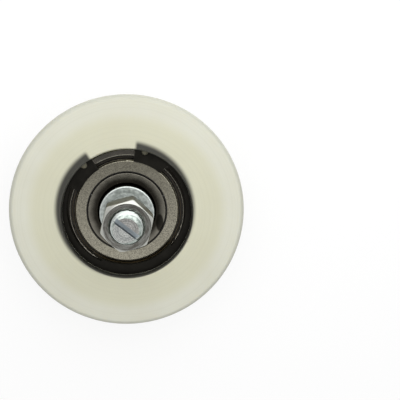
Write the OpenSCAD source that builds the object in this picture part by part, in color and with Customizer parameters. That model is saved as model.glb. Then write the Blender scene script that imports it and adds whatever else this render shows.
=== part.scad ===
// Grooved gate wheel on a shielded ball bearing.
//
// The nylon wheel carries a square groove that runs on a gate's rail. A deep
// groove ball bearing drops into its front, and an internal retaining ring with
// inward lugs holds it there. The turned axle is pressed into the bearing from
// behind, and its threaded end takes the nut that clamps it to a gate frame.
//
// Z runs along the axle, with the threaded end up. The origin is the centre of
// the wheel's back face, on which the whole part lies.

/* [Wheel] */
// Outside diameter over the flanges
wheel_d = 72; // [68:0.5:100]
// Width over both flanges
wheel_w = 19; // [18.4:0.1:24]
// Diameter of the groove's floor
floor_d = 59.8; // [50:0.1:64]
// Width of the groove at the rim
groove_w = 9.6; // [6:0.1:12]
// Slope of each groove wall, in degrees
groove_draft = 1; // [0:0.25:4]
// Radius in the corners of the groove's floor
floor_fillet = 0.6; // [0.3:0.1:1.5]
// Rounding of the flanges' outer edges
flange_round = 1.5; // [0.4:0.1:2.4]
// Rounding of the flanges' edges along the groove
lip_round = 0.7; // [0.2:0.1:1.5]
// Thickness of the shoulder behind the bearing
shoulder_t = 2.5; // [1.8:0.1:3]
// Width of the shoulder that the bearing's outer ring rests on
shoulder_h = 3; // [1.5:0.1:4]
// Bevel at the mouth of the bearing seat and round the back hole
seat_bevel = 0.4; // [0.2:0.05:0.8]

/* [Bearing] */
// Outside diameter
bearing_d = 40; // [38:0.5:42]
// Bore
bore_d = 17; // [15:0.5:18]
// Width
bearing_w = 12; // [11.4:0.1:12.4]
// Diameter of the balls
ball_d = 6.747; // [6:0.001:7]
// Number of balls, each a node of its own
ball_count = 8; // [8:1:8]
// Gap between a ball and each raceway
ball_gap = 0.02; // [0.01:0.005:0.05]
// Depth of the raceways, from the lands to their bottom
race_depth = 1.37; // [1:0.01:1.6]
// Curvature of the raceways, as a share of the ball's diameter
race_ratio = 0.52; // [0.515:0.005:0.55]
// Bevel on the outer corners of the rings
ring_bevel = 0.6; // [0.3:0.1:1]
// Thickness of the outer ring where the shields seat
rim_wall = 2.48; // [2.3:0.02:2.8]
// Bevel at the mouth of that recess
recess_bevel = 0.2; // [0.1:0.05:0.3]

/* [Shields] */
// Thickness of the shield's sheet
shield_t = 0.4; // [0.3:0.05:0.5]
// Depth of the flat plate below the bearing's face
plate_depth = 0.25; // [0.15:0.05:0.5]
// Depth of the seat flange below the bearing's face
seat_depth = 1.35; // [1.1:0.05:1.5]
// Width of the step between the plate and the outer ring
step_w = 1.75; // [1.5:0.05:2.2]
// How much of that width the slope takes
slope_w = 0.75; // [0.4:0.05:1]
// Height of the crimped rim above the seat flange
crimp_h = 0.75; // [0.4:0.05:1]
// Gap round the inner ring
shield_gap = 0.45; // [0.1:0.05:0.6]
// Notches in the crimped rim
notch_count = 11; // [6:1:16]
// Width of each notch
notch_w = 1.1; // [0.6:0.1:2]

/* [Cage] */
// Thickness of the pressed ribbon
cage_t = 0.5; // [0.4:0.05:0.6]
// Radial width of the ribbon
cage_w = 2.4; // [1.8:0.1:2.6]
// Clearance between a ball and its pocket
pocket_gap = 0.1; // [0.05:0.01:0.15]
// Diameter of the rivets
rivet_d = 1.1; // [0.8:0.1:1.4]
// Diameter of the rivets' heads
rivet_head_d = 1.9; // [1.6:0.1:2.2]
// Height of the rivets' heads
rivet_head_h = 0.45; // [0.3:0.05:0.6]

/* [Retaining ring] */
// Thickness of the ring
clip_t = 1.75; // [1.5:0.05:1.8]
// How far the ring reaches past the bearing seat beside its opening
clip_reach = 2; // [1:0.05:2.4]
// How far it reaches past the seat opposite the opening
clip_bite = 0.8; // [0.4:0.05:1]
// Extra width of the ring's groove over the ring
clip_play = 0.1; // [0.05:0.01:0.2]
// Gap between the ring and the bottom of its groove
clip_gap = 0.05; // [0.02:0.01:0.1]
// Opening between the two lugs, in degrees
clip_opening = 40; // [30:1:50]
// Length of each lug, in degrees
lug_arc = 32.5; // [28:0.5:40]
// How far the lugs stand inside the bearing's outside diameter
lug_h = 4; // [3.4:0.1:4.4]
// Length of the deep part opposite the lugs, in degrees
spine_arc = 80; // [60:1:100]
// How far that part stands inside the bearing's outside diameter
spine_h = 3.2; // [2.6:0.1:3.8]
// The same for the arms where they meet it
arm_h = 2.4; // [1.6:0.1:2.5]
// The same for the arms where they meet the lugs
arm_tip_h = 1; // [0.6:0.1:1.6]
// Diameter of the plier holes
plier_hole_d = 2.1; // [1.5:0.1:2.4]
// Distance of the plier holes' centres inside the bearing's outside diameter
plier_hole_inset = 0.35; // [0.3:0.05:1.4]
// Angle from a lug's free end to its plier hole
plier_hole_arc = 9; // [6:0.5:14]
// Direction of the opening, in degrees from X
clip_turn = 102.5; // [0:0.5:360]

/* [Axle] */
// Diameter of the head behind the bearing
head_d = 22; // [19:0.5:24]
// Thickness of the head
head_t = 2; // [1.2:0.1:2.3]
// How far the bearing seat ends below the wheel's front face
seat_sink = 1.7; // [0:0.1:2]
// Diameter of the plain shank
shank_d = 9.525; // [8:0.005:10]
// Length of the plain shank
shank_l = 7.2; // [5:0.1:14]
// Diameter of the relief above the shank
relief_d = 7; // [6:0.1:7.4]
// Length of the relief
relief_l = 1.9; // [1:0.1:3]
// Diameter of the thread over its crests
thread_d = 9; // [8:0.01:10]
// Length of the thread, up to the axle's end
thread_l = 10.8; // [9:0.1:20]
// Bevel on the threaded end
end_bevel = 0.9; // [0.5:0.1:1.2]
// Bevel on the axle's other edges
edge_bevel = 0.35; // [0.1:0.05:0.5]
// Width of the screwdriver slot
slot_w = 1.5; // [1:0.1:2.4]
// Depth of the screwdriver slot
slot_depth = 2.2; // [1:0.1:2.6]
// Direction of the slot, in degrees from X
slot_turn = -38; // [-90:1:90]

/* [Nut] */
// Width across the flats
nut_flats = 13.7; // [12.5:0.1:16]
// Height
nut_h = 7.8; // [6:0.1:8.4]
// Clearance between the nut's bore and the thread
nut_gap = 0.05; // [0.03:0.01:0.08]
// Diameter of the flat ring on each face, as a share of the flats
nut_face_ratio = 0.98; // [0.9:0.01:1]
// Angle of the bevel that rounds the corners
nut_bevel_angle = 27; // [15:1:35]
// Depth of the countersink in each face
nut_sink = 0.7; // [0.3:0.1:1]
// Direction of one corner, in degrees from X
nut_turn = 14; // [0:1:60]

/* [Hidden] */

// Number of segments on round forms
$fn = 96;
// Overshoot of a cut past the face that it opens
cut = 0.5;

nylon = [0.86, 0.85, 0.77];
black_steel = [0.15, 0.15, 0.14];
bearing_steel = [0.52, 0.51, 0.49];
shield_steel = [0.60, 0.57, 0.51];
ball_steel = [0.75, 0.75, 0.76];
cage_steel = [0.62, 0.60, 0.56];
zinc = [0.70, 0.73, 0.72];
nut_steel = [0.60, 0.59, 0.56];

wheel_r = wheel_d / 2;
floor_r = floor_d / 2;
groove_mid = wheel_w / 2;
floor_half_w = groove_w / 2 - (wheel_r - floor_r) * tan(groove_draft);

bearing_r = bearing_d / 2;
bearing_back = shoulder_t;
bearing_front = bearing_back + bearing_w;
bearing_mid = (bearing_back + bearing_front) / 2;
shoulder_hole_r = bearing_r - shoulder_h;

ball_r = ball_d / 2;
pitch_r = (bearing_d + bore_d) / 4;
race_r = ball_d * race_ratio;
outer_land_r = pitch_r + ball_r - race_depth;
inner_land_r = pitch_r - ball_r + race_depth;
outer_race_centre = pitch_r + ball_r + ball_gap - race_r;
inner_race_centre = pitch_r - ball_r - ball_gap + race_r;
recess_r = bearing_r - rim_wall;
recess_depth = seat_depth + shield_t;
ball_step = 360 / ball_count;

shield_inner_r = inner_land_r + shield_gap;
plate_outer_r = recess_r - step_w;
slope_outer_r = plate_outer_r + slope_w;
crimp_r = recess_r - shield_t / 2;

cage_inner_r = pitch_r - cage_w / 2;
cage_outer_r = pitch_r + cage_w / 2;
pocket_r = ball_r + pocket_gap;

clip_r = bearing_r + (clip_reach + clip_bite) / 2;
clip_shift = (clip_reach - clip_bite) / 2;
clip_groove_r = bearing_r + clip_reach + clip_gap;
lug_end = clip_opening / 2 + lug_arc;
spine_end = 180 - spine_arc / 2;
arm_shift = (arm_h - arm_tip_h) / (cos(lug_end) - cos(spine_end));
arm_inner_r = bearing_r - arm_tip_h - arm_shift * cos(lug_end);
plier_hole_pitch_r = bearing_r - plier_hole_inset;

head_back = bearing_back - head_t;
seat_top = wheel_w - seat_sink;
shank_top = seat_top + shank_l;
thread_base = shank_top + relief_l;
axle_top = thread_base + thread_l;
shank_r = shank_d / 2;
thread_r = thread_d / 2;

nut_corner_r = nut_flats / sqrt(3);
nut_face_r = nut_flats * nut_face_ratio / 2;
nut_bore_r = thread_r + nut_gap;

// Cuts the corner of a section at a point to a quarter circle. The direction
// points from the corner into the solid.
module round_edge(point, radius, direction) {
    translate(point) difference() {
        mirror([direction[0] < 0 ? 1 : 0, 0])
            mirror([0, direction[1] < 0 ? 1 : 0])
                translate([-cut, -cut]) square(radius + cut);
        translate([radius * direction[0], radius * direction[1]]) circle(radius);
    }
}

// Cuts the corner of a section at 45 degrees, in the same way.
module bevel_edge(point, size, direction) {
    x = direction[0];
    y = direction[1];
    translate(point)
        polygon([[-cut * x, -cut * y], [(size + cut) * x, -cut * y], [-cut * x, (size + cut) * y]]);
}

// A flat ring between two radii and two heights.
module tube(inner, outer, bottom, top) {
    translate([0, 0, bottom]) difference() {
        cylinder(r = outer, h = top - bottom);
        translate([0, 0, -cut]) cylinder(r = inner, h = top - bottom + 2 * cut);
    }
}

// Section of the rail groove, open at the rim. The corners of its floor are
// rounded, so the cutter's own corners are.
module groove_section() {
    open = wheel_r + cut;
    open_half_w = groove_w / 2 + cut * tan(groove_draft);
    difference() {
        polygon([
            [floor_r, groove_mid - floor_half_w],
            [open, groove_mid - open_half_w],
            [open, groove_mid + open_half_w],
            [floor_r, groove_mid + floor_half_w]
        ]);
        for (side = [-1, 1])
            round_edge([floor_r, groove_mid + side * floor_half_w], floor_fillet, [1, -side]);
    }
}

// The wheel is turned from one piece of nylon.
module wheel_body() {
    color(nylon) rotate_extrude() difference() {
        translate([shoulder_hole_r, 0]) square([wheel_r - shoulder_hole_r, wheel_w]);
        groove_section();
        translate([0, bearing_back]) square([bearing_r, wheel_w]);
        translate([0, bearing_front]) square([clip_groove_r, clip_t + clip_play]);
        round_edge([wheel_r, 0], flange_round, [-1, 1]);
        round_edge([wheel_r, wheel_w], flange_round, [-1, -1]);
        for (side = [-1, 1])
            round_edge([wheel_r, groove_mid + side * groove_w / 2], lip_round, [-1, side]);
        bevel_edge([bearing_r, wheel_w], seat_bevel, [1, -1]);
        bevel_edge([shoulder_hole_r, 0], seat_bevel, [1, 1]);
    }
}

// A wedge of the plane between two angles, measured from the ring's opening.
module wedge(from, to) {
    steps = 8;
    polygon(concat([[0, 0]], [
        for (i = [0:steps])
            let (a = from + (to - from) * i / steps)
                2 * clip_r * [cos(a), sin(a)]
    ]));
}

// The retaining ring is stamped from spring steel, with lugs that reach inward.
// It springs open most beside its opening, so its outer edge is off centre there.
module retaining_ring() {
    color(black_steel)
        translate([0, 0, bearing_front])
            rotate([0, 0, clip_turn])
                linear_extrude(clip_t) difference() {
                    translate([clip_shift, 0]) circle(clip_r);
                    difference() {
                        translate([arm_shift, 0]) circle(arm_inner_r);
                        difference() {
                            wedge(-lug_end, lug_end);
                            circle(bearing_r - lug_h);
                        }
                        difference() {
                            wedge(spine_end, 360 - spine_end);
                            circle(bearing_r - spine_h);
                        }
                    }
                    wedge(-clip_opening / 2, clip_opening / 2);
                    for (side = [-1, 1])
                        rotate(side * (clip_opening / 2 + plier_hole_arc))
                            translate([plier_hole_pitch_r, 0]) circle(d = plier_hole_d);
                }
}

// Both recesses that the shields seat in, as a section to cut.
module shield_recesses() {
    for (low = [bearing_back - cut, bearing_front - recess_depth])
        translate([0, low]) square([recess_r, recess_depth + cut]);
}

module bearing_outer_ring() {
    color(bearing_steel) rotate_extrude() difference() {
        translate([outer_land_r, bearing_back]) square([bearing_r - outer_land_r, bearing_w]);
        translate([outer_race_centre, bearing_mid]) circle(race_r);
        shield_recesses();
        bevel_edge([bearing_r, bearing_back], ring_bevel, [-1, 1]);
        bevel_edge([bearing_r, bearing_front], ring_bevel, [-1, -1]);
        bevel_edge([recess_r, bearing_back], recess_bevel, [1, 1]);
        bevel_edge([recess_r, bearing_front], recess_bevel, [1, -1]);
    }
}

module bearing_inner_ring() {
    color(bearing_steel) rotate_extrude() difference() {
        translate([bore_d / 2, bearing_back]) square([inner_land_r - bore_d / 2, bearing_w]);
        translate([inner_race_centre, bearing_mid]) circle(race_r);
        bevel_edge([bore_d / 2, bearing_back], ring_bevel, [1, 1]);
        bevel_edge([bore_d / 2, bearing_front], ring_bevel, [1, -1]);
        bevel_edge([inner_land_r, bearing_back], recess_bevel, [-1, 1]);
        bevel_edge([inner_land_r, bearing_front], recess_bevel, [-1, -1]);
    }
}

// Balls are counted round the pitch circle from X.
module ball(number) {
    color(ball_steel)
        rotate([0, 0, (number - 1) * ball_step])
            translate([pitch_r, 0, bearing_mid]) sphere(ball_r);
}

// One half of the cage: a ribbon with a pocket over each ball and a flat land
// between pockets, which meets the other half at the bearing's mid plane.
module cage_half() {
    difference() {
        intersection() {
            union() {
                tube(cage_inner_r, cage_outer_r, 0, cage_t);
                for (i = [0:ball_count - 1])
                    rotate([0, 0, i * ball_step])
                        translate([pitch_r, 0, 0]) sphere(pocket_r + cage_t);
            }
            tube(cage_inner_r, cage_outer_r, 0, ball_d);
        }
        for (i = [0:ball_count - 1])
            rotate([0, 0, i * ball_step]) {
                translate([pitch_r, 0, 0]) sphere(pocket_r);
                rotate([0, 0, ball_step / 2])
                    translate([pitch_r, 0, -cut]) cylinder(d = rivet_d, h = cage_t + 2 * cut);
            }
    }
}

module cage_front_half() {
    color(cage_steel) translate([0, 0, bearing_mid]) cage_half();
}

module cage_back_half() {
    color(cage_steel) translate([0, 0, bearing_mid]) mirror([0, 0, 1]) cage_half();
}

// A rivet's section: its shank through both lands, and a bevelled head each side.
module cage_rivets() {
    head_r = rivet_head_d / 2;
    head_top = cage_t + rivet_head_h;
    bevel = rivet_head_h * 0.6;
    color(ball_steel)
        for (i = [0:ball_count - 1])
            rotate([0, 0, (i + 0.5) * ball_step])
                translate([pitch_r, 0, bearing_mid])
                    rotate_extrude($fn = 32) {
                        translate([0, -cage_t]) square([rivet_d / 2, 2 * cage_t]);
                        for (side = [-1, 1])
                            polygon([
                                [0, side * cage_t],
                                [head_r, side * cage_t],
                                [head_r, side * (head_top - bevel)],
                                [head_r - bevel, side * head_top],
                                [0, side * head_top]
                            ]);
                    }
}

// Section of a bent sheet whose middle line runs through the given points.
module sheet(points, thickness) {
    for (i = [0:len(points) - 2]) {
        run = points[i + 1] - points[i];
        translate(points[i])
            rotate(atan2(run[1], run[0]))
                translate([0, -thickness / 2]) square([norm(run), thickness]);
    }
    for (i = [1:len(points) - 2])
        translate(points[i]) circle(d = thickness, $fn = 24);
}

// A shield with its outside face up, measured down from the bearing's face. Its
// plate drops to a flange, and the notched rim is crimped into the outer ring.
module shield() {
    half = shield_t / 2;
    plate_z = -plate_depth - half;
    flange_z = -seat_depth - half;
    difference() {
        rotate_extrude() sheet([
            [shield_inner_r, plate_z],
            [plate_outer_r, plate_z],
            [slope_outer_r, flange_z],
            [crimp_r, flange_z],
            [crimp_r, flange_z + half + crimp_h]
        ], shield_t);
        for (i = [0:notch_count - 1])
            rotate([0, 0, i * 360 / notch_count])
                translate([crimp_r - shield_t, -notch_w / 2, -seat_depth])
                    cube([2 * shield_t, notch_w, seat_depth]);
    }
}

module shield_front() {
    color(shield_steel) translate([0, 0, bearing_front]) shield();
}

module shield_back() {
    color(shield_steel) translate([0, 0, bearing_back]) mirror([0, 0, 1]) shield();
}

// The axle is turned from one bar. Its head lies behind the bearing's inner
// ring, and the shank above the bearing seat takes the hole in a gate frame.
module axle() {
    color(zinc) difference() {
        rotate_extrude() difference() {
            union() {
                translate([0, head_back]) square([head_d / 2, head_t]);
                translate([0, head_back]) square([bore_d / 2, seat_top - head_back]);
                translate([0, head_back]) square([shank_r, shank_top - head_back]);
                translate([0, head_back]) square([relief_d / 2, axle_top - head_back]);
                translate([0, thread_base]) square([thread_r, thread_l]);
            }
            bevel_edge([head_d / 2, head_back], edge_bevel, [-1, 1]);
            bevel_edge([bore_d / 2, seat_top], edge_bevel, [-1, -1]);
            bevel_edge([shank_r, shank_top], edge_bevel, [-1, -1]);
            bevel_edge([thread_r, thread_base], edge_bevel, [-1, 1]);
            bevel_edge([thread_r, axle_top], end_bevel, [-1, -1]);
        }
        translate([0, 0, axle_top - slot_depth])
            rotate([0, 0, slot_turn])
                translate([-thread_r - cut, -slot_w / 2, 0])
                    cube([thread_d + 2 * cut, slot_w, slot_depth + cut]);
    }
}

// A nut bevelled on both faces: a hexagon trimmed by a barrel, bored and
// countersunk. It stands at the foot of the thread.
module hex_nut() {
    rise = (nut_corner_r - nut_face_r + cut) * tan(nut_bevel_angle);
    color(nut_steel) translate([0, 0, thread_base]) difference() {
        intersection() {
            rotate([0, 0, nut_turn]) cylinder(r = nut_corner_r, h = nut_h, $fn = 6);
            rotate_extrude() polygon([
                [0, 0],
                [nut_face_r, 0],
                [nut_corner_r + cut, rise],
                [nut_corner_r + cut, nut_h - rise],
                [nut_face_r, nut_h],
                [0, nut_h]
            ]);
        }
        translate([0, 0, -cut]) cylinder(r = nut_bore_r, h = nut_h + 2 * cut);
        for (side = [0, 1])
            translate([0, 0, side * nut_h])
                mirror([0, 0, side])
                    translate([0, 0, -cut])
                        cylinder(r1 = nut_bore_r + nut_sink + cut, r2 = nut_bore_r, h = nut_sink + cut);
    }
}

wheel_body();
retaining_ring();
bearing_outer_ring();
bearing_inner_ring();
for (i = [1:ball_count])
    ball(i);
cage_front_half();
cage_back_half();
cage_rivets();
shield_front();
shield_back();
axle();
hex_nut();
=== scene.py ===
"""Dresses the grooved gate wheel: a nylon wheel on a shielded ball bearing, with its axle and nut."""

import math

import bpy

from mathutils import Matrix, Vector


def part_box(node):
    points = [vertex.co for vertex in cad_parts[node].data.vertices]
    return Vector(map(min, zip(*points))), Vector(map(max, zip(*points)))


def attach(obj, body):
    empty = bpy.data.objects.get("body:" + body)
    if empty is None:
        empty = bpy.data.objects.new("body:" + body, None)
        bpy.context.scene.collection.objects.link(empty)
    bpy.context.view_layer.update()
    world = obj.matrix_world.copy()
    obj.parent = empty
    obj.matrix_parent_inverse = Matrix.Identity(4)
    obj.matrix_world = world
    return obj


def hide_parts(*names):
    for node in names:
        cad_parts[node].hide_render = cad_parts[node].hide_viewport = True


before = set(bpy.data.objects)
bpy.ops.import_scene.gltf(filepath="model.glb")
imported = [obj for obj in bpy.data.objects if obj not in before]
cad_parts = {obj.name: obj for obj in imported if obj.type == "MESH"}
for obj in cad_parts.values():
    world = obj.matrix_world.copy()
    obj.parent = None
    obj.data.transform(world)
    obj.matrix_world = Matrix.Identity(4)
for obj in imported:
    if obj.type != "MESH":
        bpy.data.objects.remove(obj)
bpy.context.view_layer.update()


# ---- Wheel body -------------------------------------------------------------
# The wheel is turned from a cast nylon bar, which is milky and lets light in.
# The tool leaves faint rings on its faces and hoops round its rim and groove,
# and the bearing drops into the seat in its front.

MM = 0.001
WHEEL_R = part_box("wheel_body")[1].x / MM
WHEEL_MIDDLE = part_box("wheel_body")[1].z / MM / 2
MOUTH_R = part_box("bearing_outer_ring")[1].x / MM
LIP_FROM, THICK_TO_R, THIN_FROM_R = 16.5, 27.5, 31.5
GROOVE_HALF, GROOVE_FROM_R = 4.75, 29.0

# The sockets of a node that mixes two colours.
SHARE, FROM, TO, MIXED = 0, 6, 7, 2


def linear(hex_colour):
    """Turns an sRGB hex colour into the linear colour that a shader wants."""
    channels = [int(hex_colour[i : i + 2], 16) / 255 for i in (1, 3, 5)]
    return [c / 12.92 if c <= 0.04045 else ((c + 0.055) / 1.055) ** 2.4 for c in channels] + [1.0]


def per_mm(size):
    """Gives the scale at which a pattern repeats every so many millimetres."""
    return 1 / (size * MM)


def add(tree, kind, inputs=None, links=None, **settings):
    """Adds a node, sets it, fills its inputs and links them from other nodes' outputs."""
    node = tree.nodes.new(kind)
    for name, value in settings.items():
        setattr(node, name, value)
    for name, value in (inputs or {}).items():
        node.inputs[name].default_value = value
    for name, source in (links or {}).items():
        tree.links.new(source, node.inputs[name])
    return node


def new_finish(name, **sockets):
    """Starts a material and returns it with its node tree and its shader."""
    material = bpy.data.materials.new(name)
    material.use_nodes = True
    tree = material.node_tree
    tree.nodes.clear()
    shader = add(tree, "ShaderNodeBsdfPrincipled")
    for socket, value in sockets.items():
        shader.inputs[socket.replace("_", " ")].default_value = value
    add(tree, "ShaderNodeOutputMaterial", links={"Surface": shader.outputs["BSDF"]})
    return material, tree, shader


def off_axis(tree, point):
    """Gives a point's distance from the axis."""
    flat = add(tree, "ShaderNodeVectorMath", {1: (1, 1, 0)}, {0: point}, operation="MULTIPLY")
    length = add(tree, "ShaderNodeVectorMath", links={0: flat.outputs[0]}, operation="LENGTH")
    return length.outputs["Value"]


def turned_place(tree):
    """Gives a place on a turned piece: the point, its radius, and radius and height as a pair."""
    place = add(tree, "ShaderNodeTexCoord").outputs["Object"]
    split = add(tree, "ShaderNodeSeparateXYZ", links={0: place})
    radius = off_axis(tree, place)
    section = add(tree, "ShaderNodeCombineXYZ", links={"X": radius, "Y": split.outputs["Z"]}).outputs[0]
    return place, radius, section


def dress(node, material):
    """Gives a CAD node a finish in place of the plain one that it came with."""
    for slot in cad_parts[node].material_slots:
        slot.material = material


# Natural cast nylon, faced and turned: milky, slightly yellow where it is thick
# and cooler in the thin flanges over the groove.
turned_nylon, tree, shader = new_finish(
    "turned_natural_nylon", Roughness=0.42, IOR=1.53, Subsurface_Weight=0.35,
    Subsurface_Radius=(1.0, 0.9, 0.7), Subsurface_Scale=2.5 * MM,
)
place, radius, section = turned_place(tree)
thin = add(
    tree, "ShaderNodeMapRange", {"From Min": THICK_TO_R * MM, "From Max": THIN_FROM_R * MM},
    {"Value": radius}, interpolation_type="SMOOTHSTEP",
)
body_colour = add(
    tree, "ShaderNodeMix", {FROM: linear("#cecdb7"), TO: linear("#d3d3c5")}, {SHARE: thin.outputs[0]},
    data_type="RGBA",
)

# Hoops from the tool: a pattern in radius and height only, 0.6 mm apart.
hoops = add(
    tree, "ShaderNodeTexNoise", {"Scale": per_mm(0.6), "Detail": 3.0, "Roughness": 0.6},
    {"Vector": section}, noise_dimensions="2D",
)
hoop_amount = add(
    tree, "ShaderNodeMapRange", {"From Min": 0.45, "From Max": 0.75, "To Max": 0.11},
    {"Value": hoops.outputs["Fac"]},
)
hooped = add(
    tree, "ShaderNodeMix", {TO: linear("#a9a992")},
    {SHARE: hoop_amount.outputs[0], FROM: body_colour.outputs[MIXED]}, data_type="RGBA",
)

# Clouds in the casting, about 14 mm across.
cloud = add(
    tree, "ShaderNodeTexNoise", {"Scale": per_mm(14), "Detail": 3.0, "Roughness": 0.55},
    {"Vector": place},
)
cloud_amount = add(
    tree, "ShaderNodeMapRange", {"From Min": 0.35, "From Max": 0.7, "To Max": 0.17},
    {"Value": cloud.outputs["Fac"]},
)
clouded = add(
    tree, "ShaderNodeMix", {TO: linear("#bdb9a2")},
    {SHARE: cloud_amount.outputs[0], FROM: hooped.outputs[MIXED]}, data_type="RGBA",
)

# Specks in the nylon, up to 0.5 mm across and about 5 mm apart.
specks = add(tree, "ShaderNodeTexVoronoi", {"Scale": per_mm(5.0)}, {"Vector": place}, feature="F1")
speck_size = add(
    tree, "ShaderNodeMapRange", {"From Min": 0.035, "From Max": 0.06, "To Min": 1.0, "To Max": 0.0},
    {"Value": specks.outputs["Distance"]},
)
speck_pick = add(tree, "ShaderNodeSeparateColor", links={0: specks.outputs["Color"]})
speck_some = add(
    tree, "ShaderNodeMath", {1: 0.62}, {0: speck_pick.outputs[0]}, operation="GREATER_THAN",
)
speck = add(
    tree, "ShaderNodeMath", links={0: speck_size.outputs[0], 1: speck_some.outputs[0]},
    operation="MULTIPLY",
)
speck_soft = add(tree, "ShaderNodeMath", {1: 0.45}, {0: speck.outputs[0]}, operation="MULTIPLY")
specked = add(
    tree, "ShaderNodeMix", {TO: linear("#8d8468")},
    {SHARE: speck_soft.outputs[0], FROM: clouded.outputs[MIXED]}, data_type="RGBA",
)

# The black ring shows through the lip in front of it as a soft dark band. The
# band reaches from the seat's mouth to the ring's edge, which is off centre
# towards its opening, and it leaves that opening out.
RING_TURN, RING_OPENING, END_BLUR = math.radians(102.5), math.radians(40), math.radians(1.6)
RING_LEAN, RING_OFF = math.radians(115), 1.35 * MM
split = add(tree, "ShaderNodeSeparateXYZ", links={0: place})
angle = add(
    tree, "ShaderNodeMath", links={0: split.outputs["Y"], 1: split.outputs["X"]}, operation="ARCTAN2",
)
turned = add(tree, "ShaderNodeMath", {1: RING_TURN}, {0: angle.outputs[0]}, operation="SUBTRACT")
wrapped = add(
    tree, "ShaderNodeMath", {1: -math.pi, 2: math.pi}, {0: turned.outputs[0]}, operation="WRAP",
)
aside = add(tree, "ShaderNodeMath", links={0: wrapped.outputs[0]}, operation="ABSOLUTE")
covered = add(
    tree, "ShaderNodeMapRange",
    {"From Min": RING_OPENING / 2 - END_BLUR, "From Max": RING_OPENING / 2 + END_BLUR},
    {"Value": aside.outputs[0]}, interpolation_type="SMOOTHSTEP",
)
off_centre = add(
    tree, "ShaderNodeVectorMath",
    {1: (-RING_OFF * math.cos(RING_LEAN), -RING_OFF * math.sin(RING_LEAN), 0)},
    {0: place}, operation="ADD",
)
band_out = add(
    tree, "ShaderNodeMapRange",
    {"From Min": (MOUTH_R + 0.3) * MM, "From Max": (MOUTH_R + 2) * MM, "To Min": 1.0, "To Max": 0.0},
    {"Value": off_axis(tree, off_centre.outputs[0])}, interpolation_type="SMOOTHSTEP",
)
mouth = add(
    tree, "ShaderNodeMapRange",
    {"From Min": (MOUTH_R + 0.1) * MM, "From Max": (MOUTH_R + 0.5) * MM, "To Min": 0.85, "To Max": 0.98},
    {"Value": radius},
)
lip_only = add(
    tree, "ShaderNodeMath", {1: LIP_FROM * MM}, {0: split.outputs["Z"]}, operation="GREATER_THAN",
)
band = covered
for share in (band_out, lip_only, mouth):
    band = add(
        tree, "ShaderNodeMath", links={0: band.outputs[0], 1: share.outputs[0]}, operation="MULTIPLY",
    )
banded = add(
    tree, "ShaderNodeMix", {TO: linear("#2f2e28")},
    {SHARE: band.outputs[0], FROM: specked.outputs[MIXED]}, data_type="RGBA",
)

# Painted shade: a dark line along the mouth's edge, where the seat's rim lies in
# shade, a little wider at the bottom and weaker in the ring's opening.
low_centre = add(tree, "ShaderNodeVectorMath", {1: (0, 0.1 * MM, 0)}, {0: place}, operation="ADD")
mouth_shade = add(
    tree, "ShaderNodeMapRange",
    {"From Min": (MOUTH_R + 0.1) * MM, "From Max": (MOUTH_R + 0.45) * MM, "To Min": 0.95, "To Max": 0.0},
    {"Value": off_axis(tree, low_centre.outputs[0])}, interpolation_type="SMOOTHSTEP",
)
weaker_in_opening = add(tree, "ShaderNodeMapRange", {"To Min": 0.3}, {"Value": covered.outputs[0]})
for share in (lip_only, weaker_in_opening):
    mouth_shade = add(
        tree, "ShaderNodeMath", links={0: mouth_shade.outputs[0], 1: share.outputs[0]}, operation="MULTIPLY",
    )
mouth_shaded = add(
    tree, "ShaderNodeMix", {TO: linear("#23221d")},
    {SHARE: mouth_shade.outputs[0], FROM: banded.outputs[MIXED]}, data_type="RGBA",
)

# Painted shade greys the rounded rims of the two flanges, which turn away from the light.
rim_shade = add(
    tree, "ShaderNodeMapRange",
    {"From Min": (WHEEL_R - 1.7) * MM, "From Max": (WHEEL_R - 0.6) * MM, "To Max": 0.54},
    {"Value": radius},
)
rim_shaded = add(
    tree, "ShaderNodeMix", {TO: linear("#8f9187")},
    {SHARE: rim_shade.outputs[0], FROM: mouth_shaded.outputs[MIXED]}, data_type="RGBA",
)

# Rust and dirt from the rail sit in specks along the flanges' inner edges.
groove_height = add(
    tree, "ShaderNodeMath", {1: WHEEL_MIDDLE * MM}, {0: split.outputs["Z"]}, operation="SUBTRACT",
)
groove_side = add(tree, "ShaderNodeMath", links={0: groove_height.outputs[0]}, operation="ABSOLUTE")
folded = add(tree, "ShaderNodeCombineXYZ", links={"X": radius, "Y": groove_side.outputs[0]})
edge = add(
    tree, "ShaderNodeVectorMath", {1: ((WHEEL_R - 0.1) * MM, GROOVE_HALF * MM, 0)},
    {0: folded.outputs[0]}, operation="DISTANCE",
)
edge_near = add(
    tree, "ShaderNodeMapRange",
    {"From Min": 0.1 * MM, "From Max": 0.45 * MM, "To Min": 1.0, "To Max": 0.0},
    {"Value": edge.outputs["Value"]},
)
dirt = add(
    tree, "ShaderNodeTexNoise", {"Scale": per_mm(1.1), "Detail": 4.0, "Roughness": 0.7},
    {"Vector": place},
)
dirt_some = add(
    tree, "ShaderNodeMapRange", {"From Min": 0.49, "From Max": 0.58, "To Max": 0.9},
    {"Value": dirt.outputs["Fac"]},
)
dirty = add(
    tree, "ShaderNodeMath", links={0: edge_near.outputs[0], 1: dirt_some.outputs[0]},
    operation="MULTIPLY",
)
rusted = add(
    tree, "ShaderNodeMix", {TO: linear("#5b4835")},
    {SHARE: dirty.outputs[0], FROM: rim_shaded.outputs[MIXED]}, data_type="RGBA",
)

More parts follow.
